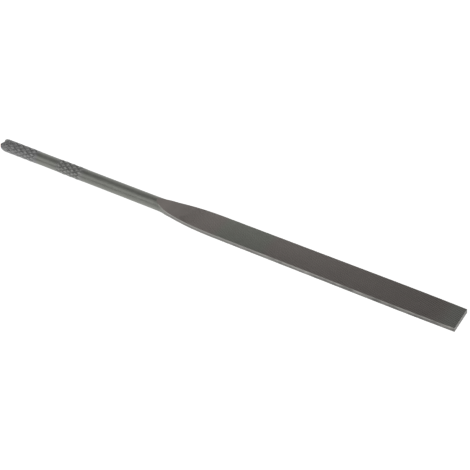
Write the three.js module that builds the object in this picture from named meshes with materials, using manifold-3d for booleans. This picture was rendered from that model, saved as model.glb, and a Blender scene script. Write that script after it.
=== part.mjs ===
// A flat needle file, in millimetres. +X runs from the butt of the handle to the tip of the
// blade, +Z points out of the upper working face, and +Y is across the blade.
// The origin lies under the middle of the file, at the height of its lowest point.
// The real tool is one bar of hardened steel. Each mesh below is one worked zone of that bar,
// and neighbouring zones meet face to face on flat planes square to X.
import * as THREE from 'three';
import { mergeVertices } from 'three/addons/utils/BufferGeometryUtils.js';
import Module from 'manifold-3d';

const wasm = await Module();
wasm.setup();

// Overall sizes
const overallLength = 160;
const shankDiameter = 4;
const bladeWidth = 7.5;
const tipWidth = 7.1;
const bladeThickness = 1.5;

// Lengths of the zones, from the butt towards the tip. The blade takes what is left.
const buttLength = 2.05;
const rearKnurlLength = 14.15;
const plainBandLength = 7.8;
const frontKnurlLength = 11.5;
const shankLength = 27.5;
const neckLength = 22;

// Butt: the knurled bar is domed down to a small flat end. The top is cropped at a slant,
// where the blank was sheared off the rod.
const buttFaceRadius = 1.25;
const cropStartHeight = 0.76;
const cropTilt = THREE.MathUtils.degToRad(68);
const cropRoll = THREE.MathUtils.degToRad(11);

// Diamond knurl, rolled into the bar by two crossing sets of spiral ridges
const knurlDiamonds = 10;
const knurlPitch = 2.75;
const knurlRise = 0.08;
const knurlDepth = 0.17;
const knurlFade = 2;
const knurlCrownShare = 0.8;
const frontKnurlShiftShare = 0.5;

// Neck: the round bar is forged flat and wide, then ground on both faces
const flareShankRun = 6;
const flareBladeRun = 12.5;
const forgeRun = 12;
const squaringStart = 1;
const squaringRun = 8;
const grindAllowance = 0.2;
const grindWheelRadius = 20;
const grindApexSetback = 0.4;
const edgeRadius = 0.18;
const roundShare = 0.98;

// Blade: parallel, then drawn in slightly towards the tip
const tipTaperLength = 22;

// Teeth: the up-cut rows of the double cut, each with a steep front that faces the tip
const toothPitch = 0.55;
const toothDepth = 0.12;
const toothRowAngle = THREE.MathUtils.degToRad(65);
const toothBackShare = 0.78;
const firstToothRun = 9;

// Facets
const roundSides = 48;
const knurlStepsPerDiamond = 4;
const neckRings = 26;
const cornerSteps = 8;
const domeSteps = 6;
const grindArcSteps = 14;
const overrun = 1;

// Sizes worked out from the ones above
const shankRadius = shankDiameter / 2;
const halfThickness = bladeThickness / 2;
const halfWidth = bladeWidth / 2;
const lowestPoint = shankRadius + knurlRise;
const plainBandStart = buttLength + rearKnurlLength;
const frontKnurlStart = plainBandStart + plainBandLength;
const shankStart = frontKnurlStart + frontKnurlLength;
const neckStart = shankStart + shankLength;
const bladeStart = neckStart + neckLength;

// Steel finishes, one for each way of working the bar
function steel(colour, roughness) {
  return new THREE.MeshStandardMaterial({ color: colour, roughness, metalness: 1 });
}
const turnedSteel = 0x82837d;
const knurledSteel = 0x6e6d68;
const forgedSteel = 0x6a6762;
const cutSteel = 0x5b5752;

const file = new THREE.Group();

// Adds one zone of the bar to the file.
function addZone(name, geometry, colour, roughness) {
  const zone = new THREE.Mesh(geometry, steel(colour, roughness));
  zone.name = name;
  file.add(zone);
}

// A smooth step from 0 to 1 over a run of length that starts at a given place.
function ease(place, start, run) {
  return THREE.MathUtils.smoothstep(place, start, start + run);
}

// A turned zone: its profile is a list of [place along the bar, radius] pairs that starts and
// ends on the axis. The lathe spins it round Y, and the quarter turn lays it along X.
function turned(profile) {
  const points = profile.map(([place, radius]) => new THREE.Vector2(radius, place));
  return new THREE.LatheGeometry(points, roundSides).rotateZ(-Math.PI / 2);
}

// A closed skin over a row of rings. Every ring has the same number of points, in the same
// order round the bar, and a fan from its middle closes the first ring and the last.
function skinOver(rings) {
  const sides = rings[0].length;
  const positions = [];
  const faces = [];
  for (const ring of rings) {
    for (const point of ring) positions.push(point.x, point.y, point.z);
  }
  for (let row = 0; row + 1 < rings.length; row++) {
    for (let side = 0; side < sides; side++) {
      const next = (side + 1) % sides;
      const here = row * sides;
      const ahead = here + sides;
      // The diagonal changes sides from cell to cell, so that it follows both sets of spirals.
      if ((row + side) % 2 === 0) {
        faces.push(here + side, here + next, ahead + next);
        faces.push(here + side, ahead + next, ahead + side);
      } else {
        faces.push(here + side, here + next, ahead + side);
        faces.push(here + next, ahead + next, ahead + side);
      }
    }
  }
  for (const ring of [rings[0], rings[rings.length - 1]]) {
    const facesBack = ring === rings[0];
    const first = rings.indexOf(ring) * sides;
    const middle = positions.length / 3;
    positions.push(ring[0].x, 0, 0);
    for (let side = 0; side < sides; side++) {
      const next = (side + 1) % sides;
      if (facesBack) faces.push(middle, first + next, first + side);
      else faces.push(middle, first + side, first + next);
    }
  }
  const geometry = new THREE.BufferGeometry();
  geometry.setAttribute('position', new THREE.Float32BufferAttribute(positions, 3));
  geometry.setIndex(faces);
  return geometry;
}

// How far a point on the knurl stands up, from 0 on a groove's floor to 1 on a diamond's crown.
// turns counts diamonds round the bar and pitches counts them along it.
function diamondHeight(turns, pitches) {
  const toGroove = (value) => Math.abs(value - Math.round(value));
  const nearest = Math.min(toGroove(turns + pitches), toGroove(turns - pitches));
  const furthest = 1 / 2;
  const flank = furthest / 2;
  if (nearest >= flank) {
    const crown = (nearest - flank) / (furthest - flank);
    return knurlCrownShare + (1 - knurlCrownShare) * crown;
  }
  return knurlCrownShare * nearest / flank;
}

// A knurled zone. The two sets of grooves cross on a lattice whose steps the mesh follows, and
// they fade out at each end where the rollers were lifted, except where the bar was cut off.
// The lattice starts a share of one pitch further on.
function knurled(start, length, fadesAtRear, shiftShare) {
  const step = knurlPitch / knurlStepsPerDiamond;
  const rows = Math.max(2, Math.round(length / step));
  const sides = knurlDiamonds * knurlStepsPerDiamond;
  const rings = [];
  for (let row = 0; row <= rows; row++) {
    const along = length * row / rows;
    const rearFade = fadesAtRear ? ease(along, 0, knurlFade) : 1;
    const frontFade = ease(length - along, 0, knurlFade);
    const strength = Math.min(rearFade, frontFade);
    const ring = [];
    for (let side = 0; side < sides; side++) {
      const angle = 2 * Math.PI * side / sides;
      const pitches = row / knurlStepsPerDiamond + shiftShare;
      const height = diamondHeight(side / knurlStepsPerDiamond, pitches);
      const relief = (knurlRise + knurlDepth) * height - knurlDepth;
      const radius = shankRadius + strength * relief;
      ring.push(new THREE.Vector3(start + along, radius * Math.cos(angle), radius * Math.sin(angle)));
    }
    rings.push(ring);
  }
  return skinOver(rings);
}

// The dome that the knurled end is turned to: a quarter of an ellipse joins the small flat end
// to a straight wall, whose flats just clear the crowns of the knurl.
function domeProfile(end) {
  const wallRadius = (shankRadius + knurlRise) / Math.cos(Math.PI / roundSides);
  const profile = [[0, 0]];
  for (let step = 0; step <= domeSteps; step++) {
    const angle = Math.PI / 2 * step / domeSteps;
    const place = buttLength * (1 - Math.cos(angle));
    profile.push([place, THREE.MathUtils.lerp(buttFaceRadius, wallRadius, Math.sin(angle))]);
  }
  profile.push([end, wallRadius], [end, 0]);
  return profile;
}

// What the shear took off the butt: a block that leans back from the flat end over the top, and
// is rolled a little towards the far side.
function cropBlock() {
  const size = 2 * shankDiameter;
  const block = new THREE.BoxGeometry(size, size, size);
  block.translate(-size / 2, 0, 0).rotateY(cropTilt).translate(0, 0, cropStartHeight);
  return block.rotateX(-cropRoll);
}

// A plain round stretch of the bar
function roundProfile(start, length) {
  return [[start, 0], [start, shankRadius], [start + length, shankRadius], [start + length, 0]];
}

// One cross-section of the blank: a rectangle with rounded corners, which is all but a circle
// at the shank, a bar with round edges in the flare, and a nearly square bar in the blade.
function blankSection(place, width, height, radius) {
  const ring = [];
  const corners = [[1, 1, 0], [-1, 1, 1], [-1, -1, 2], [1, -1, 3]];
  for (const [acrossSign, upSign, quarter] of corners) {
    for (let step = 0; step <= cornerSteps; step++) {
      const angle = Math.PI / 2 * (quarter + step / cornerSteps);
      const across = acrossSign * (width - radius) + radius * Math.cos(angle);
      const up = upSign * (height - radius) + radius * Math.sin(angle);
      ring.push(new THREE.Vector3(place, across, up));
    }
  }
  return ring;
}

// The blank of neck and blade, before its faces are ground flat
function forgedBlank() {
  const flare = new THREE.CubicBezierCurve(
    new THREE.Vector2(neckStart, shankRadius),
    new THREE.Vector2(neckStart + flareShankRun, shankRadius),
    new THREE.Vector2(bladeStart - flareBladeRun, halfWidth),
    new THREE.Vector2(bladeStart, halfWidth),
  );
  const outline = flare.getPoints(neckRings);
  const taperStart = overallLength - tipTaperLength;
  outline.push(new THREE.Vector2(taperStart, halfWidth));
  for (let step = 1; step <= cornerSteps; step++) {
    const share = step / cornerSteps;
    const drawnIn = (bladeWidth - tipWidth) / 2 * share * share;
    outline.push(new THREE.Vector2(taperStart + tipTaperLength * share, halfWidth - drawnIn));
  }
  return skinOver(outline.map((point) => {
    const flattened = ease(point.x, neckStart, forgeRun);
    const squared = ease(point.x, neckStart + squaringStart, squaringRun);
    const height = THREE.MathUtils.lerp(shankRadius, halfThickness + grindAllowance, flattened);
    const roundest = roundShare * Math.min(point.y, height);
    const radius = THREE.MathUtils.lerp(roundest, edgeRadius, squared);
    return blankSection(point.x, point.y, height, radius);
  }));
}

// Side view of what the grinding leaves: two parallel faces, and at the shank the hollow that
// the wheel's rim makes as it runs out of the round bar.
function groundSlab() {
  const rise = shankRadius - halfThickness;
  const wheelRun = Math.sqrt(rise * (2 * grindWheelRadius - rise));
  const flatStart = neckStart + grindApexSetback + wheelRun;
  const wheelHeight = halfThickness + grindWheelRadius;
  const pastShank = flatStart - neckStart + overrun;
  const exitAngle = Math.acos(pastShank / grindWheelRadius);
  const side = new THREE.Shape();
  side.moveTo(overallLength + overrun, -halfThickness);
  side.lineTo(overallLength + overrun, halfThickness);
  side.lineTo(flatStart, halfThickness);
  side.absarc(flatStart, wheelHeight, grindWheelRadius, -Math.PI / 2, exitAngle - Math.PI, true);
  side.absarc(flatStart, -wheelHeight, grindWheelRadius, Math.PI - exitAngle, Math.PI / 2, true);
  const depth = bladeWidth + shankDiameter + overrun;
  const slab = new THREE.ExtrudeGeometry(side, {
    depth, bevelEnabled: false, curveSegments: grindArcSteps,
  });
  // The shape is drawn along X and up, and the extrusion is laid across the blade.
  return slab.translate(0, 0, -depth / 2).rotateX(Math.PI / 2);
}

// The comb of grooves for one face. Its profile zigzags along the blade, the extrusion runs
// across it, and a shear slants the rows. It is long enough to run past the tip.
function toothComb() {
  const slant = 1 / Math.tan(toothRowAngle);
  const combStart = neckStart + firstToothRun;
  const combLength = overallLength - combStart + bladeWidth * slant + overrun;
  const rows = Math.ceil(combLength / toothPitch);
  const crest = halfThickness;
  const floor = crest - toothDepth;
  const roof = crest + toothDepth + overrun;
  const zigzag = new THREE.Shape();
  zigzag.moveTo(0, roof);
  zigzag.lineTo(0, crest);
  for (let row = 0; row < rows; row++) {
    zigzag.lineTo(toothPitch * (row + 1 - toothBackShare), floor);
    zigzag.lineTo(toothPitch * (row + 1), crest);
  }
  zigzag.lineTo(toothPitch * rows, roof);
  const depth = bladeWidth + overrun;
  const comb = new THREE.ExtrudeGeometry(zigzag, { depth, bevelEnabled: false });
  comb.translate(combStart, 0, -depth / 2).rotateX(Math.PI / 2);
  return comb.applyMatrix4(new THREE.Matrix4().makeShear(0, 0, slant, 0, 0, 0));
}

// Turns a closed geometry into a solid that can be joined and cut.
function solidOf(geometry) {
  const bare = geometry.clone();
  bare.deleteAttribute('normal');
  bare.deleteAttribute('uv');
  const merged = mergeVertices(bare);
  return new wasm.Manifold(new wasm.Mesh({
    numProp: 3,
    vertProperties: merged.attributes.position.array,
    triVerts: new Uint32Array(merged.index.array),
  }));
}

// Turns a solid back into a geometry.
function geometryOf(solid) {
  const mesh = solid.getMesh();
  const geometry = new THREE.BufferGeometry();
  geometry.setAttribute('position', new THREE.BufferAttribute(mesh.vertProperties, 3));
  geometry.setIndex(new THREE.BufferAttribute(mesh.triVerts, 1));
  return geometry;
}

// The stretch of the bar between two planes, as a block that is wider than the bar.
function stretchBlock(start, end) {
  const breadth = bladeWidth + shankDiameter;
  const block = new THREE.BoxGeometry(end - start, breadth, breadth);
  return solidOf(block.translate((start + end) / 2, 0, 0));
}

// Neck and blade are forged, ground and cut as one bar, and parted at the end of the flare.
const topComb = toothComb();
const underComb = topComb.clone().rotateX(Math.PI);
const cutBar = solidOf(forgedBlank())
  .intersect(solidOf(groundSlab()))
  .subtract(solidOf(topComb))
  .subtract(solidOf(underComb));
const neckBar = cutBar.intersect(stretchBlock(neckStart - overrun, bladeStart));
const bladeBar = cutBar.intersect(stretchBlock(bladeStart, overallLength + overrun));

// Butt and rear knurl are rolled as one bar, domed and cropped, and parted where the dome ends.
const rearBar = solidOf(knurled(0, plainBandStart, false, 0))
  .intersect(solidOf(turned(domeProfile(plainBandStart + overrun))))
  .subtract(solidOf(cropBlock()));
const buttBar = rearBar.intersect(stretchBlock(-overrun, buttLength));
const knurlBar = rearBar.intersect(stretchBlock(buttLength, plainBandStart + overrun));
const frontKnurl = knurled(frontKnurlStart, frontKnurlLength, true, frontKnurlShiftShare);

addZone('butt', geometryOf(buttBar), knurledSteel, 0.55);
addZone('rear_knurl', geometryOf(knurlBar), knurledSteel, 0.55);
addZone('plain_band', turned(roundProfile(plainBandStart, plainBandLength)), turnedSteel, 0.45);
addZone('front_knurl', frontKnurl, knurledSteel, 0.55);
addZone('shank', turned(roundProfile(shankStart, shankLength)), turnedSteel, 0.45);
addZone('neck', geometryOf(neckBar), forgedSteel, 0.5);
addZone('blade', geometryOf(bladeBar), cutSteel, 0.55);

file.position.set(-overallLength / 2, 0, lowestPoint);

export default file;
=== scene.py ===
import math

import bmesh
import bpy
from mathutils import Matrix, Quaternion, Vector
from mathutils.geometry import interpolate_bezier


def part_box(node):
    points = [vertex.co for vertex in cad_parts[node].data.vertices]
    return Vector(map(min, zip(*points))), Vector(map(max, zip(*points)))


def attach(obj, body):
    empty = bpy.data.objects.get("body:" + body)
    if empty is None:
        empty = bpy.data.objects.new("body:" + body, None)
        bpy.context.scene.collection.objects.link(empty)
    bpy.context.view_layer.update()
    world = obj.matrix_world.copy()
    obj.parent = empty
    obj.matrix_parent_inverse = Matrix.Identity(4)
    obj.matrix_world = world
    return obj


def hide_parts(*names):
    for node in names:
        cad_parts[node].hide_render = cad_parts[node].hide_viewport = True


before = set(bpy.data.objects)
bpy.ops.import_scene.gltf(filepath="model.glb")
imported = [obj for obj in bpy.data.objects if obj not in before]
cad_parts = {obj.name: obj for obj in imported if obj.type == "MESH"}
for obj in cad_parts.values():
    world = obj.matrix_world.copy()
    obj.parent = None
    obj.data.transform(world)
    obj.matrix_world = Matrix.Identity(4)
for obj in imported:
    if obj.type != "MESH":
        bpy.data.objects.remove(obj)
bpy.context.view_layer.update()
mm = 0.001
overrun = 1 * mm  # a cut this far past an end of the bar leaves that end whole
onPlane = 1e-7  # a vertex this near to a cutting plane counts as on it
sliverWidth = 0.003 * mm

# The file lies along X, from the butt of the handle to the tip of the blade.
zone = {name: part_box(name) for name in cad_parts}
zoneStart = {name: low.x for name, (low, high) in zone.items()}
zoneEnd = {name: high.x for name, (low, high) in zone.items()}
axisHeight = (zone["shank"][0].z + zone["shank"][1].z) / 2
shankRadius = (zone["shank"][1].z - zone["shank"][0].z) / 2
crownRadius = (zone["front_knurl"][1].z - zone["front_knurl"][0].z) / 2
halfWidth = zone["blade"][1].y
halfThickness = (zone["blade"][1].z - zone["blade"][0].z) / 2


def useOnly(piece):
    bpy.ops.object.select_all(action="DESELECT")
    piece.select_set(True)
    bpy.context.view_layer.objects.active = piece


def newest(name):
    piece = bpy.context.active_object
    piece.name = name
    piece.data.name = name
    bpy.ops.object.transform_apply(location=True, rotation=True, scale=True)
    return piece


def openEdit(piece, selected="SELECT"):
    useOnly(piece)
    bpy.ops.object.mode_set(mode="EDIT")
    bpy.ops.mesh.select_mode(type="VERT")
    bpy.ops.mesh.select_all(action=selected)


def closeEdit():
    bpy.ops.mesh.select_all(action="SELECT")
    bpy.ops.mesh.normals_make_consistent(inside=False)
    bpy.ops.object.mode_set(mode="OBJECT")


def pick(piece, test):  # in edit mode, selects the vertices whose place passes the test
    mesh = bmesh.from_edit_mesh(piece.data)
    for vertex in mesh.verts:
        vertex.select_set(test(vertex.co))
    mesh.select_flush_mode()
    bmesh.update_edit_mesh(piece.data)


def ease(place, start, run):
    share = min(max((place - start) / run, 0), 1)
    return share * share * (3 - 2 * share)


def useModifier(piece, kind, **settings):
    useOnly(piece)
    bpy.ops.object.modifier_add(type=kind)
    modifier = piece.modifiers[-1]
    for name, value in settings.items():
        setattr(modifier, name, value)
    bpy.ops.object.modifier_apply(modifier=modifier.name)


def cutAway(piece, cutter):  # the cutter is used up
    useModifier(piece, "BOOLEAN", operation="DIFFERENCE", object=cutter, solver="MANIFOLD")
    bpy.data.objects.remove(cutter)


def dropSlivers(piece):
    openEdit(piece)
    bpy.ops.mesh.dissolve_degenerate(threshold=sliverWidth)
    bpy.ops.mesh.select_all(action="SELECT")
    bpy.ops.mesh.delete_loose()
    closeEdit()


def copyOf(piece, name):
    useOnly(piece)
    bpy.ops.object.duplicate()
    return newest(name)


def keepStretch(piece, start, end):  # cuts the bar square at both places and closes the ends
    for place, side in ((start, -1), (end, 1)):
        openEdit(piece)
        bpy.ops.mesh.bisect(
            plane_co=(place, 0, axisHeight), plane_no=(side, 0, 0),
            use_fill=True, clear_outer=True, threshold=onPlane)
        closeEdit()


def drawnBar(name, stations, sides):  # a disc drawn out along X, resized at each station
    place, across, up = stations[0]
    bpy.ops.object.select_all(action="DESELECT")
    bpy.ops.mesh.primitive_circle_add(
        vertices=sides, radius=across, fill_type="NGON",
        location=(place, 0, axisHeight), rotation=(0, math.pi / 2, 0))
    bar = newest(name)
    openEdit(bar)
    for nextPlace, nextAcross, nextUp in stations[1:]:
        bpy.ops.mesh.extrude_region_move(
            TRANSFORM_OT_translate={"value": (nextPlace - place, 0, 0)})
        bpy.ops.transform.resize(
            value=(1, nextAcross / across, nextUp / up),
            center_override=(nextPlace, 0, axisHeight))
        place, across, up = nextPlace, nextAcross, nextUp
    closeEdit()
    return bar


def steps(start, end, count):
    return [start + (end - start) * step / count for step in range(count + 1)]


# Knurl: two crossing sets of spiral grooves, rolled into the bar
knurl = {
    "sides": 154,
    "diamonds": 10,
    "pitch": 2.75 * mm,
    "depth": 0.20 * mm,
    "halfGroove": 0.50 * mm,
    "overcut": 0.02 * mm,
    "fade": 2 * mm,
    "fadeSteps": 6,
    "stepsPerPitch": 9,
    "stagger": 0.2,  # share of a step, so that no steps of the two crossing sets fall together
    "clearance": 1.02,  # in crown radii, where a groove that doesn't bite lies
    "leadPitches": 2,  # of spiral before and after its band
    # each band: where its spirals start, how deep they bite at first and at most,
    # and the run over which that comes and goes
    "rear": {"shift": 0.20 * mm, "bite": (0.4, 0.9), "runIn": 10 * mm, "runOut": 2 * mm},
    "front": {"shift": 1.45 * mm, "bite": (0, 1), "runIn": 1.2 * mm, "runOut": 2.5 * mm},
}


def spiralCutter(name, start, end, band, hand):
    tip = crownRadius - knurl["depth"]
    tall = knurl["depth"] + knurl["overcut"]
    size = tall / 1.5  # a triangle with equal sides is one and a half radii tall
    lead = knurl["leadPitches"] * knurl["pitch"]
    run = knurl["pitch"] / knurl["stepsPerPitch"]
    turn = 2 * math.pi / knurl["diamonds"] / knurl["stepsPerPitch"] * hand
    stagger = knurl["stagger"] * hand
    place = start + band["shift"] - lead + stagger * run
    bpy.ops.object.select_all(action="DESELECT")
    bpy.ops.mesh.primitive_circle_add(
        vertices=3, radius=size, fill_type="NGON",
        location=(place, tip + size, axisHeight), rotation=(0, math.pi / 2, math.pi))
    cutter = newest(name)
    wide = knurl["halfGroove"] * tall / knurl["depth"]
    openEdit(cutter)
    bpy.ops.transform.resize(
        value=(1, 1, wide / (size * math.sqrt(3) / 2)), center_override=(place, 0, axisHeight))
    bpy.ops.transform.rotate(
        value=turn * stagger, orient_axis="X", center_override=(place, 0, axisHeight))
    lift = 1
    count = math.ceil((end - start + 2 * lead) / run)
    for step in range(count):
        place += run
        first, most = band["bite"]
        deeper = first + (most - first) * ease(place, start, band["runIn"])
        bite = min(deeper, ease(end - place, 0, band["runOut"]))
        nextLift = 1 + (crownRadius / tip * knurl["clearance"] - 1) * (1 - bite)
        bpy.ops.mesh.extrude_region_move(TRANSFORM_OT_translate={"value": (run, 0, 0)})
        bpy.ops.transform.rotate(
            value=turn, orient_axis="X", center_override=(place, 0, axisHeight))
        bpy.ops.transform.resize(
            value=(1, nextLift / lift, nextLift / lift),
            center_override=(place, 0, axisHeight))
        lift = nextLift
    bpy.ops.mesh.select_all(action="SELECT")
    more = knurl["diamonds"] - 1
    bpy.ops.mesh.spin(
        steps=more, dupli=True, angle=2 * math.pi * more / knurl["diamonds"],
        center=(0, 0, axisHeight), axis=(1, 0, 0))
    closeEdit()
    return cutter


def rollKnurl(bar, start, end, band):
    for hand in (1, -1):
        cutAway(bar, spiralCutter("spiralCutter", start, end, band, hand))


# Butt: domed on the knurled bar. Its top is sheared off at a slant, which leaves an ear
# on the far side.
butt = {
    "faceRadius": 1.25 * mm,
    "domeLength": 2.05 * mm,
    "domeSteps": 12,
    "chipSize": 8 * mm,
    "shearAcross": 0.69 * mm,
    "shearUp": 0.573 * mm,
    "floor": {"tilt": math.radians(60), "roll": math.radians(15)},
    "earSide": {"tilt": math.radians(90), "roll": math.radians(-41)},
}


def shearTop(bar):
    start = zoneStart["butt"]
    corner = Vector((start, butt["shearAcross"], axisHeight + butt["shearUp"]))
    bpy.ops.object.select_all(action="DESELECT")
    bpy.ops.mesh.primitive_cube_add(size=butt["chipSize"], location=(start, 0, axisHeight))
    chip = newest("shearedChip")
    for face in (butt["floor"], butt["earSide"]):
        rolledUp = Vector((0, math.sin(face["roll"]), math.cos(face["roll"])))
        facing = rolledUp * math.sin(face["tilt"]) - Vector((math.cos(face["tilt"]), 0, 0))
        openEdit(chip)
        bpy.ops.mesh.bisect(
            plane_co=corner, plane_no=facing, use_fill=True, clear_inner=True, threshold=onPlane)
        closeEdit()
    cutAway(bar, chip)


def makeRearHandle():
    start, end = zoneStart["butt"], zoneEnd["rear_knurl"]
    stations = []
    for angle in steps(0, math.pi / 2, butt["domeSteps"]):
        radius = butt["faceRadius"] + (crownRadius - butt["faceRadius"]) * math.sin(angle)
        stations.append((start + butt["domeLength"] * (1 - math.cos(angle)), radius, radius))
    for place in steps(end - knurl["fade"], end, knurl["fadeSteps"]):
        radius = crownRadius - (crownRadius - shankRadius) * ease(
            place, end - knurl["fade"], knurl["fade"])
        stations.append((place, radius, radius))
    bar = drawnBar("rearHandle", stations, knurl["sides"])
    rollKnurl(bar, start, end, knurl["rear"])
    shearTop(bar)
    dropSlivers(bar)
    rear = copyOf(bar, "rearKnurl")
    keepStretch(bar, start - overrun, zoneEnd["butt"])
    keepStretch(rear, zoneEnd["butt"], end + overrun)
    bar.name = "domedButt"
    return bar, rear


def makeFrontKnurl():
    start, end = zoneStart["front_knurl"], zoneEnd["front_knurl"]
    fade, count = knurl["fade"], knurl["fadeSteps"]
    stations = []
    for place in steps(start, start + fade, count) + steps(end - fade, end, count):
        rear = ease(place, start, fade)
        front = ease(end - place, 0, fade)
        radius = shankRadius + (crownRadius - shankRadius) * min(rear, front)
        stations.append((place, radius, radius))
    bar = drawnBar("frontKnurl", stations, knurl["sides"])
    rollKnurl(bar, start, end, knurl["front"])
    dropSlivers(bar)
    return bar


# Plain round stretches: drawn bar, a hair thinner in the middle
plain = {"sides": 128, "stations": 12, "waist": 0.012 * mm}


def makePlainBar(name, node):
    start, end = zoneStart[node], zoneEnd[node]
    stations = []
    for place in steps(start, end, plain["stations"]):
        share = (place - start) / (end - start)
        radius = shankRadius - plain["waist"] * math.sin(math.pi * share)
        stations.append((place, radius, radius))
    return drawnBar(name, stations, plain["sides"])


# Neck and blade: forged out of the round bar, ground on both faces, then cut with teeth
blank = {
    "sides": 128,
    "lead": 2 * mm,  # of the bar before the neck, cut off again later
    "flareSteps": 40,
    "flareShankRun": 6 * mm,
    "flareBladeRun": 12.5 * mm,
    "squareStart": 2.5 * mm,
    "squareRun": 6 * mm,
    "squareHeight": 7 * mm,
    "tipTaper": 22 * mm,
    "tipHalfWidth": 3.55 * mm,
    "tipSteps": 10,
}
wheel = {
    "radius": 20 * mm,
    "sides": 720,
    "apexSetback": 0.4 * mm,
    "width": 14 * mm,
    "runOff": 5 * mm,  # how far it leaves the tip
    "hair": 0.001 * mm,
}
edgeBreak = {"width": 0.16 * mm, "segments": 3, "angle": math.radians(20)}


def makeBlank():
    start, end = zoneStart["neck"], zoneEnd["blade"]
    bladeStart = zoneStart["blade"]
    flare = interpolate_bezier(
        Vector((start, shankRadius, 0)), Vector((start + blank["flareShankRun"], shankRadius, 0)),
        Vector((bladeStart - blank["flareBladeRun"], halfWidth, 0)),
        Vector((bladeStart, halfWidth, 0)), blank["flareSteps"])
    stations = [(start - blank["lead"], shankRadius, shankRadius)]
    for point in flare:
        squared = ease(point.x, start + blank["squareStart"], blank["squareRun"])
        up = shankRadius + (blank["squareHeight"] - shankRadius) * squared
        stations.append((point.x, point.y, up))
    taperStart = end - blank["tipTaper"]
    for place in steps(taperStart, end, blank["tipSteps"]):
        share = (place - taperStart) / blank["tipTaper"]
        across = halfWidth - (halfWidth - blank["tipHalfWidth"]) * share * share
        stations.append((place, across, blank["squareHeight"]))
    return drawnBar("bladeBlank", stations, blank["sides"])


def grindFaces(bar):
    rise = shankRadius - halfThickness
    wheelRun = math.sqrt(rise * (2 * wheel["radius"] - rise))
    flatStart = zoneStart["neck"] + wheel["apexSetback"] + wheelRun
    for side in (1, -1):
        centre = axisHeight + side * (halfThickness + wheel["radius"])
        bpy.ops.object.select_all(action="DESELECT")
        bpy.ops.mesh.primitive_cylinder_add(
            vertices=wheel["sides"], radius=wheel["radius"], depth=wheel["width"],
            location=(flatStart, 0, centre), rotation=(math.pi / 2, 0, 0))
        path = newest("wheelPath")
        openEdit(path, "DESELECT")
        pick(path, lambda co: co.x > flatStart + wheel["hair"])
        run = zoneEnd["blade"] - flatStart + wheel["runOff"]
        bpy.ops.transform.translate(value=(run, 0, 0))
        closeEdit()
        cutAway(bar, path)
    return flatStart


# Teeth: a fine over-cut, then the up-cut rows whose steep fronts face the tip
overCut = {
    "pitch": 0.62 * mm,
    "depth": 0.08 * mm,
    "frontShare": 0.4,  # of the pitch, from a tooth's edge to its gullet
    "rowAngle": math.radians(-50),
    "start": 9.9 * mm,
}
upCut = {
    "pitch": 0.55 * mm,
    "depth": 0.12 * mm,
    "frontShare": 0.22,
    "rowAngle": math.radians(65),
    "start": 9 * mm,
}
comb = {
    "reach": 6 * mm,
    "roof": 0.4 * mm,
    "runIn": 5,  # strokes that bite less, at the start
    "margin": 0.1,  # share of a tooth left out at its ends when it is picked
    "near": 0.01,  # share of the pitch within which two places are the same
}


def makeComb(rows, side):
    slant = comb["reach"] / math.tan(rows["rowAngle"])
    start = zoneStart["neck"] + rows["start"]
    count = math.ceil((zoneEnd["blade"] - start + 2 * abs(slant)) / rows["pitch"])
    near = comb["near"] * rows["pitch"]
    crest = axisHeight + halfThickness
    bpy.ops.object.select_all(action="DESELECT")
    bpy.ops.mesh.primitive_plane_add(size=1, location=(start + rows["pitch"] / 2, 0, crest))
    groove = bpy.context.active_object
    groove.scale = (rows["pitch"], 2 * comb["reach"], 1)
    groove = newest("groove")
    floorPlace = start + rows["pitch"] * rows["frontShare"]
    openEdit(groove)
    bpy.ops.mesh.bisect(plane_co=(floorPlace, 0, crest), plane_no=(1, 0, 0))
    pick(groove, lambda co: abs(co.x - floorPlace) < near)
    bpy.ops.transform.translate(value=(0, 0, -rows["depth"]))
    closeEdit()
    useModifier(groove, "ARRAY", count=count, use_relative_offset=False, use_constant_offset=True,
                constant_offset_displace=(rows["pitch"], 0, 0), use_merge_vertices=True,
                merge_threshold=near)
    openEdit(groove, "DESELECT")
    for row in range(comb["runIn"]):
        low = start + rows["pitch"] * (row + comb["margin"] * rows["frontShare"])
        high = low + rows["pitch"] * (1 - comb["margin"])
        pick(groove, lambda co: low < co.x < high)
        share = 1 - (row + 1) / (comb["runIn"] + 1)
        bpy.ops.transform.translate(value=(0, 0, rows["depth"] * share))
    bpy.ops.mesh.select_all(action="SELECT")
    bpy.ops.mesh.extrude_region_move(TRANSFORM_OT_translate={"value": (0, 0, comb["roof"])})
    pick(groove, lambda co: co.y > 0)
    bpy.ops.transform.translate(value=(slant, 0, 0))
    pick(groove, lambda co: co.y < 0)
    bpy.ops.transform.translate(value=(-slant, 0, 0))
    if side < 0:  # the other face is cut alike, with the file turned over
        bpy.ops.mesh.select_all(action="SELECT")
        bpy.ops.transform.rotate(
            value=math.pi, orient_axis="X", center_override=(0, 0, axisHeight))
    closeEdit()
    return groove


def makeNeckAndBlade():
    bar = makeBlank()
    flatStart = grindFaces(bar)
    useModifier(bar, "BEVEL", width=edgeBreak["width"], segments=edgeBreak["segments"],
                limit_method="ANGLE", angle_limit=edgeBreak["angle"])
    print("blank ground:", len(bar.data.polygons), "faces")
    for rows in (overCut, upCut):
        for side in (1, -1):
            cutAway(bar, makeComb(rows, side))
    dropSlivers(bar)
    print("teeth cut:", len(bar.data.polygons), "faces")
    blade = copyOf(bar, "toothedBlade")
    keepStretch(bar, zoneStart["neck"], zoneEnd["neck"])
    keepStretch(blade, zoneStart["blade"], zoneEnd["blade"] + overrun)
    bar.name = "groundNeck"
    return bar, blade, flatStart


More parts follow.
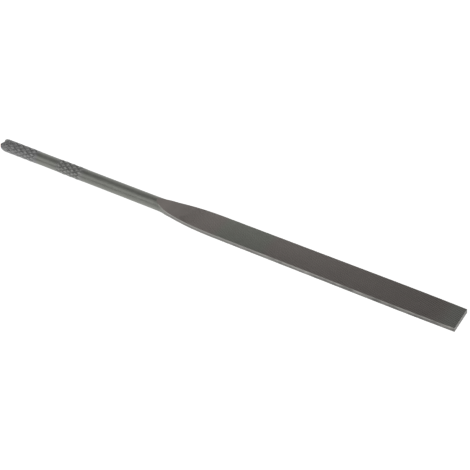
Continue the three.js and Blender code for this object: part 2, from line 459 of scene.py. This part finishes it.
# Finishes. A Wire is a socket that Python sums can be written with.
class Wire:
    def __init__(self, finish, socket):
        self.finish = finish
        self.socket = socket

    def join(self, operation, first, second):
        return self.finish.add("ShaderNodeMath", {"operation": operation}, {0: first, 1: second})

    def __add__(self, other):
        return self.join("ADD", self, other)

    def __radd__(self, other):
        return self.join("ADD", other, self)

    def __sub__(self, other):
        return self.join("SUBTRACT", self, other)

    def __rsub__(self, other):
        return self.join("SUBTRACT", other, self)

    def __mul__(self, other):
        return self.join("MULTIPLY", self, other)

    def __rmul__(self, other):
        return self.join("MULTIPLY", other, self)

    def __truediv__(self, other):
        return self.join("DIVIDE", self, other)

    def __rtruediv__(self, other):
        return self.join("DIVIDE", other, self)

    def __pow__(self, other):
        return self.join("POWER", self, other)

    def __rpow__(self, other):
        return self.join("POWER", other, self)


class Finish:
    def __init__(self, name):
        self.material = bpy.data.materials.new(name)
        self.material.use_nodes = True
        self.tree = self.material.node_tree
        self.shader = self.tree.nodes["Principled BSDF"]
        place = self.add("ShaderNodeTexCoord", {}, {}, "Object")
        self.place = self.scaled(place, 1 / mm)  # object coordinates in mm

    def feed(self, socket, value):
        if isinstance(value, Wire):
            self.tree.links.new(value.socket, socket)
        else:
            socket.default_value = value

    def add(self, kind, settings, sockets, output=0):
        node = self.tree.nodes.new(kind)
        for name, value in settings.items():
            setattr(node, name, value)
        for name, value in sockets.items():
            self.feed(node.inputs[name], value)
        return Wire(self, node.outputs[output])

    def scaled(self, vector, factor):  # a colour or a place, times a number
        return self.add(
            "ShaderNodeVectorMath", {"operation": "SCALE"}, {0: vector, "Scale": factor})

    def noise(self, scale, detail):  # scale is per mm, along, across and up
        stretched = self.add(
            "ShaderNodeVectorMath", {"operation": "MULTIPLY"}, {0: self.place, 1: scale})
        return self.add("ShaderNodeTexNoise", {}, {
            "Vector": stretched, "Scale": 1, "Detail": detail, "Roughness": noiseRoughness}, "Fac")

    def between(self, value, low, high):  # 0 below low, 1 above high, smooth in between
        return self.add("ShaderNodeMapRange", {"interpolation_type": "SMOOTHSTEP"}, {
            "Value": value, "From Min": low, "From Max": high})

    def blend(self, mask, first, second):
        return self.add("ShaderNodeMix", {"data_type": "RGBA", "clamp_factor": True}, {
            0: mask, 6: first, 7: second}, 2)

    def part(self, axis):
        return self.add("ShaderNodeSeparateXYZ", {}, {0: self.place}, axis)

    def finishWith(self, colour, roughness, height, relief):
        self.feed(self.shader.inputs["Base Color"], colour)
        self.feed(self.shader.inputs["Roughness"], roughness)
        self.shader.inputs["Metallic"].default_value = 1
        bump = self.add("ShaderNodeBump", {}, {
            "Strength": 1, "Distance": relief, "Height": height}, "Normal")
        self.feed(self.shader.inputs["Normal"], bump)
        return self.material


def shade(level, tint):
    return (*[level * part for part in tint], 1)


# In the finishes' values a noise is its scale and its detail. A pair of numbers is where
# something starts and where it is full, in the noise or in mm. Along the file, the mm count
# from its middle.
noiseRoughness = 0.55

# Drawn rod: streaks along the bar, faint blotches and small pits
turned = {
    "dark": 0.195,
    "light": 0.237,
    "pit": 0.06,
    "tint": (0.98, 1, 0.91),
    "roughness": 0.38,
    "streaks": ((0.05, 3.2, 3.2), 4),
    "hairs": ((0.22, 16, 16), 3),
    "blotches": ((0.35, 0.8, 0.8), 3),
    "pits": ((5, 5, 5), 2),
    "pitEdge": (0.68, 0.74),
    "pitStrength": 0.6,
    "pitRoughness": 0.2,
    "shadeEdge": (0.34, 0.66),
    "streakShare": 0.4,
    "roughSpread": 0.25,
    "relief": 0.006 * mm,
}


def barSteel(finish, tint):
    streaks = finish.noise(*turned["streaks"])
    hairs = finish.noise(*turned["hairs"])
    blotches = finish.noise(*turned["blotches"])
    pits = finish.between(finish.noise(*turned["pits"]), *turned["pitEdge"])
    mottle = streaks * turned["streakShare"] + blotches * (1 - turned["streakShare"])
    mask = finish.between(mottle, *turned["shadeEdge"])
    colour = finish.blend(mask, shade(turned["dark"], tint), shade(turned["light"], tint))
    colour = finish.blend(pits * turned["pitStrength"], colour, shade(turned["pit"], tint))
    roughness = turned["roughness"] + (blotches - 0.5) * turned["roughSpread"]
    roughness = roughness + pits * turned["pitRoughness"]
    height = hairs * 0.5 + streaks * 0.5 - pits
    return colour, roughness, height


def drawnSteel():
    finish = Finish("drawnSteel")
    return finish.finishWith(*barSteel(finish, turned["tint"]), turned["relief"])


# Knurled bar: the same steel, with dirt in the grooves and crowns that are rubbed bright
rolled = {
    "groove": 0.19,
    "crown": 0.285,
    "speck": 0.12,
    "rearTint": (1, 1, 1),
    "frontTint": (0.995, 1, 0.955),
    "grain": ((3, 3, 3), 4),
    "grainShift": 0.06,  # how far the grain moves the edge of dirt and rub, in mm
    "dirtBelowBar": 0.02,
    "rubAboveBar": 0.01,
    "buttCrownShare": 0.25,  # what is left of the crowns' brightening at the butt
    "fullCrown": (-79, -67),
    "specks": ((2.4, 2.4, 2.4), 2),
    "speckEdge": (0.48, 0.6),
    "speckEnd": (-76, -70),
    "speckStrength": 0.8,
    "dirtRoughness": 0.15,
    "relief": 0.008 * mm,
}


def knurledSteel(name, tint):
    finish = Finish(name)
    colour, roughness, height = barSteel(finish, tint)
    along, across = finish.part("X"), finish.part("Y")
    up = finish.part("Z") - axisHeight / mm
    radius = (across * across + up * up) ** 0.5
    grain = finish.noise(*rolled["grain"])
    level = radius + (grain - 0.5) * rolled["grainShift"]
    floor, bar, crown = (crownRadius - knurl["depth"]) / mm, shankRadius / mm, crownRadius / mm
    sunk = 1 - finish.between(level, floor, bar - rolled["dirtBelowBar"])
    raised = finish.between(level, bar + rolled["rubAboveBar"], crown)
    fullCrown = finish.between(along, *rolled["fullCrown"])
    raised = raised * (rolled["buttCrownShare"] + fullCrown * (1 - rolled["buttCrownShare"]))
    specks = finish.between(finish.noise(*rolled["specks"]), *rolled["speckEdge"])
    specks = specks * (1 - finish.between(along, *rolled["speckEnd"]))
    colour = finish.blend(sunk, colour, shade(rolled["groove"], tint))
    colour = finish.blend(raised, colour, shade(rolled["crown"], tint))
    colour = finish.blend(specks * rolled["speckStrength"], colour, shade(rolled["speck"], tint))
    roughness = roughness + sunk * rolled["dirtRoughness"]
    return finish.finishWith(colour, roughness, height + grain * 0.5, rolled["relief"])


# Edges and end: stone-ground, with fine lines along the file, merging into the drawn bar
ground = {
    "dark": 0.158,
    "light": 0.216,
    # painted light: the upper half of each side edge is painted brighter than the lower half
    "paintedTopLight": 0.335,
    "nickGlint": 0.6,
    # painted highlight along the rim under the edge of the ground face
    "rim": 0.5,
    "tint": (1.03, 1, 0.945),
    "lines": ((0.3, 14, 14), 4),
    "blotches": ((0.25, 0.6, 0.6), 3),
    "shadeEdge": (0.36, 0.64),
    "paintedTopLightHeight": (0.1, 0.5),  # above the middle of the edge
    "paintedTopLightStrength": 0.75,
    # nicks shown only within the painted top light, so they are painted glints as well as nicks
    "nickGlints": ((1.2, 3, 3), 2),
    "nickEdge": (0.70, 0.74),
    "nickStrength": 0.7,
    # painted shade: the side edges are painted darker towards the tip
    "tip": 0.82,  # what is left of the brightness at the tip
    "tipShadeStart": (40, 55),
    "patches": ((0.5, 1.2, 1.2), 2),
    "patchStrength": 1.6,
    "patchStart": (0, 30),
    "barEnd": (-15, -10),
    "rimWidth": (0.08, 0.24),
    "rimStart": (-15.8, -14.2),
    "rimEnd": (-12, -9),
    "rimStrength": 0.6,
    "rougher": 0.04,  # than the drawn bar
    "roughSpread": 0.2,
    "relief": 0.006 * mm,
}


def groundSteel(flatStart):
    finish = Finish("groundSteel")
    tint = ground["tint"]
    along = finish.part("X")
    barColour, roughness, height = barSteel(finish, turned["tint"])
    lines = finish.noise(*ground["lines"])
    blotches = finish.noise(*ground["blotches"])
    mask = finish.between(lines * 0.5 + blotches * 0.5, *ground["shadeEdge"])
    colour = finish.blend(mask, shade(ground["dark"], tint), shade(ground["light"], tint))
    up = finish.part("Z") - axisHeight / mm
    # painted light: the upper half of each side edge is painted brighter than the lower half
    paintedTopLight = finish.between(up, *ground["paintedTopLightHeight"])
    colour = finish.blend(paintedTopLight * ground["paintedTopLightStrength"], colour, shade(ground["paintedTopLight"], tint))
    # bright nicks, shown only within the painted top light, so they are painted glints as well as
    # nicks
    nickGlints = finish.between(finish.noise(*ground["nickGlints"]), *ground["nickEdge"])
    nickGlints = nickGlints * paintedTopLight * ground["nickStrength"]
    colour = finish.blend(nickGlints, colour, shade(ground["nickGlint"], tint))
    # painted shade: darker towards the tip
    level = 1 - finish.between(along, *ground["tipShadeStart"]) * (1 - ground["tip"])
    patches = finish.noise(*ground["patches"]) - 0.5
    patches = patches * finish.between(along, *ground["patchStart"])
    colour = finish.scaled(colour, level * (1 + patches * ground["patchStrength"]))
    fromBar = finish.between(along, *ground["barEnd"])
    colour = finish.blend(fromBar, barColour, colour)
    # a painted highlight: a bright rim under the edge of the ground face, where that curves up out
    # of the bar
    radius = wheel["radius"] / mm
    run = flatStart / mm - along
    run = run.join("MAXIMUM", run, 0)
    faceHeight = halfThickness / mm + radius - (radius ** 2 - run * run) ** 0.5
    rim = 1 - finish.between(faceHeight - up, *ground["rimWidth"])
    stretch = finish.between(along, *ground["rimStart"]) - finish.between(along, *ground["rimEnd"])
    rim = rim * stretch * ground["rimStrength"]
    colour = finish.blend(rim, colour, shade(ground["rim"], tint))
    roughness = roughness + ground["rougher"] + (blotches - 0.5) * ground["roughSpread"]
    return finish.finishWith(colour, roughness, height + lines * fromBar, ground["relief"])


# Sheared butt: bright and torn along the stroke
sheared = {
    "dull": 0.25,
    "torn": 0.37,
    "tint": (1, 1, 0.97),
    "tears": ((3, 14, 3), 4),
    "tornEdge": (0.35, 0.65),
    "roughness": 0.5,
    "tornRoughness": 0.15,
    "relief": 0.02 * mm,
    "leastFace": 0.2 * mm * mm,  # the faces of the knurl are smaller
    "leastDepth": 0.1,  # below the bar's surface, as a share of its radius
}


def shearedSteel():
    finish = Finish("shearedSteel")
    tears = finish.noise(*sheared["tears"])
    mask = finish.between(tears, *sheared["tornEdge"])
    colour = finish.blend(mask, shade(sheared["dull"], sheared["tint"]),
                          shade(sheared["torn"], sheared["tint"]))
    roughness = sheared["roughness"] + tears * sheared["tornRoughness"]
    return finish.finishWith(colour, roughness, tears, sheared["relief"])


# File-cut faces: gullets dark, tooth edges a little brighter, with painted shade towards the tip
# and towards the near side
cut = {
    "gullet": 0.283,
    "crest": 0.358,
    "bare": 0.25,
    "hollow": 0.316,
    "tint": (1.10, 1, 0.94),
    "grain": ((4, 4, 4), 3),
    "blotches": ((0.12, 0.4, 0.4), 3),
    "blotchSpread": 0.12,
    "bareStart": (-14, -10),
    "teethStart": (-8, 4),
    "stain": (0.335, (0.975, 1, 0.895)),  # a cool patch past the neck
    "stainStart": (5, 8),
    "stainEnd": (21, 24),
    "coolTip": (0.345, (0.985, 1, 0.93)),
    "coolTipStart": (73.5, 78.5),
    "coolTipStrength": 0.9,
    # painted shade: the faces are painted darker towards the tip
    "tip": 0.54,  # what is left of the brightness at the tip
    "tipBrightening": 0.2,  # how much brighter its end is
    "tipBrighteningStart": (71, 78),
    # painted shade: the faces are painted darker towards the near side
    "nearSideShade": 0.74,  # what is left of the brightness at the near side
    "nearSideShadeStart": (-8, 14),
    "roughness": 0.5,
    "roughSpread": 0.2,
    "relief": 0.004 * mm,
}


def cutSteel():
    finish = Finish("cutSteel")
    tint = cut["tint"]
    along, across = finish.part("X"), finish.part("Y")
    up = finish.part("Z") - axisHeight / mm
    height = (up * up) ** 0.5
    rise = finish.between(height, (halfThickness - upCut["depth"]) / mm, halfThickness / mm)
    grain = finish.noise(*cut["grain"])
    blotches = finish.noise(*cut["blotches"])
    teeth = finish.blend(rise, shade(cut["gullet"], tint), shade(cut["crest"], tint))
    bare = finish.between(along, *cut["bareStart"])
    uncut = finish.blend(bare, shade(cut["hollow"], tint), shade(cut["bare"], tint))
    colour = finish.blend(finish.between(along, *cut["teethStart"]), uncut, teeth)
    patch = finish.between(along, *cut["stainStart"]) - finish.between(along, *cut["stainEnd"])
    colour = finish.blend(patch * (0.5 + blotches), colour, shade(*cut["stain"]))
    cool = finish.between(along, *cut["coolTipStart"]) * cut["coolTipStrength"]
    colour = finish.blend(cool, colour, shade(*cut["coolTip"]))
    # painted shade towards the tip, in the level below
    toTip = along / (zoneEnd["blade"] / mm)
    # painted shade: darker towards the near side, less so near the tip
    toNearShade = (0.5 - across / (2 * halfWidth / mm)) * (1 - toTip)
    toNearShade = toNearShade * finish.between(along, *cut["nearSideShadeStart"])
    level = (1 - toTip * (1 - cut["tip"])) * (1 - toNearShade * (1 - cut["nearSideShade"]))
    level = level * (1 - cut["blotchSpread"] / 2 + blotches * cut["blotchSpread"])
    level = level * (1 + finish.between(along, *cut["tipBrighteningStart"]) * cut["tipBrightening"])
    roughness = cut["roughness"] + (grain - 0.5) * cut["roughSpread"]
    return finish.finishWith(finish.scaled(colour, level), roughness, grain, cut["relief"])


# Dressing: each face takes the first or the second of its piece's finishes
smoothAngle = math.radians(28)
sorting = {
    "faceMargin": 0.01 * mm,
    "leastSlope": 0.02,  # along the file, of a face in the hollow that the wheel leaves
    "mostSideways": 0.05,
    "sideFacing": 0.8,
    "endFacing": 0.9,
}


def dress(piece, node, slotName, *materials):
    piece.data.materials.clear()
    for material in materials:
        piece.data.materials.append(material)
    useOnly(piece)
    bpy.ops.object.shade_smooth_by_angle(angle=smoothAngle)
    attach(piece, "root")
    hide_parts(node)


def markShear(piece):  # the crop and the flat end of the butt
    inner = shankRadius * (1 - sheared["leastDepth"])
    for face in piece.data.polygons:
        inside = (face.center.yz - Vector((0, axisHeight))).length < inner
        if face.area > sheared["leastFace"] and inside:
            face.material_index = 1


def markEdges(piece):  # sides, end and the round stretch take the second finish
    for face in piece.data.polygons:
        out, facing = abs(face.center.z - axisHeight), face.normal
        onFace = out < halfThickness + sorting["faceMargin"]
        inHollow = abs(facing.x) > sorting["leastSlope"] and abs(facing.y) < sorting["mostSideways"]
        uncut = abs(facing.y) > sorting["sideFacing"] or facing.x > sorting["endFacing"]
        face.material_index = 0 if (onFace or inHollow) and not uncut else 1


buttPiece, rearKnurl = makeRearHandle()
frontKnurl = makeFrontKnurl()
print("handle knurled:", len(rearKnurl.data.polygons), "faces")
plainBand = makePlainBar("plainBand", "plain_band")
shankBar = makePlainBar("shankBar", "shank")
neckPiece, bladePiece, flatStart = makeNeckAndBlade()

drawn = drawnSteel()
rearKnurled = knurledSteel("knurledSteel", rolled["rearTint"])
frontKnurled = knurledSteel("frontKnurledSteel", rolled["frontTint"])
groundFinish = groundSteel(flatStart)
cutFinish = cutSteel()
shearedFinish = shearedSteel()
dress(buttPiece, "butt", "knurled_steel", rearKnurled, shearedFinish)
dress(rearKnurl, "rear_knurl", "knurled_steel", rearKnurled, shearedFinish)
dress(plainBand, "plain_band", "turned_steel", drawn)
dress(frontKnurl, "front_knurl", "knurled_steel", frontKnurled)
dress(shankBar, "shank", "turned_steel", drawn)
dress(neckPiece, "neck", "ground_steel", cutFinish, groundFinish)
dress(bladePiece, "blade", "cut_steel", cutFinish, groundFinish)
for piece in (buttPiece, rearKnurl):
    markShear(piece)
for piece in (neckPiece, bladePiece):
    markEdges(piece)
print("finishes on")

# Studio: a pale light table under a tent of soft strips that run along the file
studio = {
    "room": 0.184,
    "tableShade": 0.3,
    "tableGlow": 0.95,
    "tableRoughness": 0.9,
    "tableGloss": 0.2,
    "tableSize": 3,
    "tableGap": 0.02 * mm,
}
tent = {
    "radius": 1.2,
    "rear": -2.1,
    "middle": -0.62,
    "front": 0.9,
    "stripAngle": 20,
    # glow of each strip over the handle and over the blade, by its angle round from the far side
    "glow": {
        10: (0.59, 0.35), 30: (0.54, 0.30), 50: (0.37, 0.156), 70: (0.23, 0.085),
        90: (0.19, 0.155), 110: (0.37, 0.37), 130: (0.81, 0.81), 150: (0.77, 0.77),
        170: (0.20, 0.20),
    },
}


def makeTable():  # tilted, because the file lies on its butt and its tip
    bpy.ops.object.select_all(action="DESELECT")
    bpy.ops.mesh.primitive_plane_add(size=studio["tableSize"], location=(0, 0, 0))
    table = newest("lightTable")
    lowTip = zone["blade"][0].z
    slope = math.atan2(lowTip, zoneEnd["blade"] - zoneStart["butt"])
    middle = (0, 0, lowTip / 2 - studio["tableGap"])
    openEdit(table)
    bpy.ops.transform.translate(value=middle)
    bpy.ops.transform.rotate(value=slope, orient_axis="Y", center_override=middle)
    closeEdit()
    finish = Finish("paleTable")
    white = (1, 1, 1)
    finish.shader.inputs["Base Color"].default_value = shade(studio["tableShade"], white)
    finish.shader.inputs["Roughness"].default_value = studio["tableRoughness"]
    finish.shader.inputs["Specular IOR Level"].default_value = studio["tableGloss"]
    finish.shader.inputs["Emission Color"].default_value = shade(1, white)
    finish.shader.inputs["Emission Strength"].default_value = studio["tableGlow"]
    table.data.materials.append(finish.material)


def makeLights():
    world = bpy.data.worlds.new("softRoom")
    bpy.context.scene.world = world
    world.use_nodes = True
    background = world.node_tree.nodes["Background"]
    background.inputs["Color"].default_value = (1, 1, 1, 1)
    background.inputs["Strength"].default_value = studio["room"]
    breadth = 2 * tent["radius"] * math.tan(math.radians(tent["stripAngle"] / 2))
    for angle, glows in tent["glow"].items():
        out = Vector((0, math.cos(math.radians(angle)), math.sin(math.radians(angle))))
        ends = ((tent["rear"], tent["middle"]), (tent["middle"], tent["front"]))
        for glow, (start, end) in zip(glows, ends):
            spot = out * tent["radius"] + Vector(((start + end) / 2, 0, 0))
            bpy.ops.object.light_add(type="AREA", location=spot)
            lamp = bpy.context.active_object
            lamp.name = "softStrip"
            lamp.data.shape = "RECTANGLE"
            lamp.data.size = end - start
            lamp.data.size_y = breadth
            # a strip's glow is its power over 4 times its area
            lamp.data.energy = 4 * glow * breadth * (end - start)
            lamp.rotation_euler = (math.radians(angle - 90), 0, 0)  # to face the file


view = {
    "spot": (157.50 * mm, -160.55 * mm, 215.27 * mm),
    "azimuth": math.radians(42.43),
    "elevation": math.radians(44.52),
    "roll": math.radians(11.51),
    "lens": 83.02,
    "sensor": 36,
    "nearest": 10 * mm,
}


def makeCamera():
    back = Vector((
        math.sin(view["azimuth"]) * math.cos(view["elevation"]),
        -math.cos(view["azimuth"]) * math.cos(view["elevation"]),
        math.sin(view["elevation"])))
    bpy.ops.object.camera_add(location=view["spot"])
    camera = bpy.context.active_object
    camera.rotation_mode = "QUATERNION"
    roll = Quaternion((0, 0, 1), -view["roll"])
    camera.rotation_quaternion = back.to_track_quat("Z", "Y") @ roll
    camera.data.lens = view["lens"]
    camera.data.sensor_width = view["sensor"]
    camera.data.clip_start = view["nearest"]
    bpy.context.scene.camera = camera
    bpy.context.scene.view_settings.view_transform = "Standard"


makeTable()
makeLights()
makeCamera()
print("studio set")
